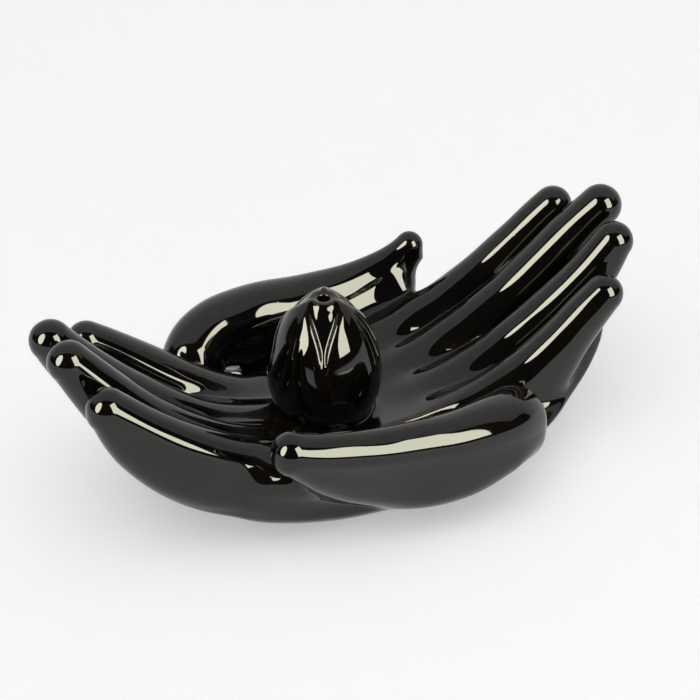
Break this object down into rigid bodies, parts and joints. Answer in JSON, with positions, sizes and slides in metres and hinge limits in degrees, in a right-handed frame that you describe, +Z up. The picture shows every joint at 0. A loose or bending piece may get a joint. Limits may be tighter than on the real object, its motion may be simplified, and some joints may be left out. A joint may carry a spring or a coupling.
{
  "type": "incense burner",
  "caption": "Cupped-hands bowl with a closed lotus bud in the palm; the bud's tip holds an incense stick and the bowl catches the ash.",
  "frame": {"origin": "centre of the foot's underside, on the surface that the burner stands on", "axes": "+X from the bowl's middle toward the right hand's fingertips, +Z up"},
  "size_m": [0.1559, 0.0883, 0.0573],
  "materials": {
    "hand_glaze": "gloss black glaze over a stoneware body, with bare clay on the foot ring",
    "bud_glaze": "gloss black glaze that breaks to brown where it thins over the petal edges and the stick hole"
  },
  "bodies": {
    "root": {"right_palm": "hand_glaze", "left_palm": "hand_glaze", "right_thumb": "hand_glaze", "right_index_finger": "hand_glaze", "right_middle_finger": "hand_glaze", "right_ring_finger": "hand_glaze", "right_little_finger": "hand_glaze", "left_thumb": "hand_glaze", "left_index_finger": "hand_glaze", "left_middle_finger": "hand_glaze", "left_ring_finger": "hand_glaze", "left_little_finger": "hand_glaze", "lotus_bud_holder": "bud_glaze"}
  },
  "joints": []
}
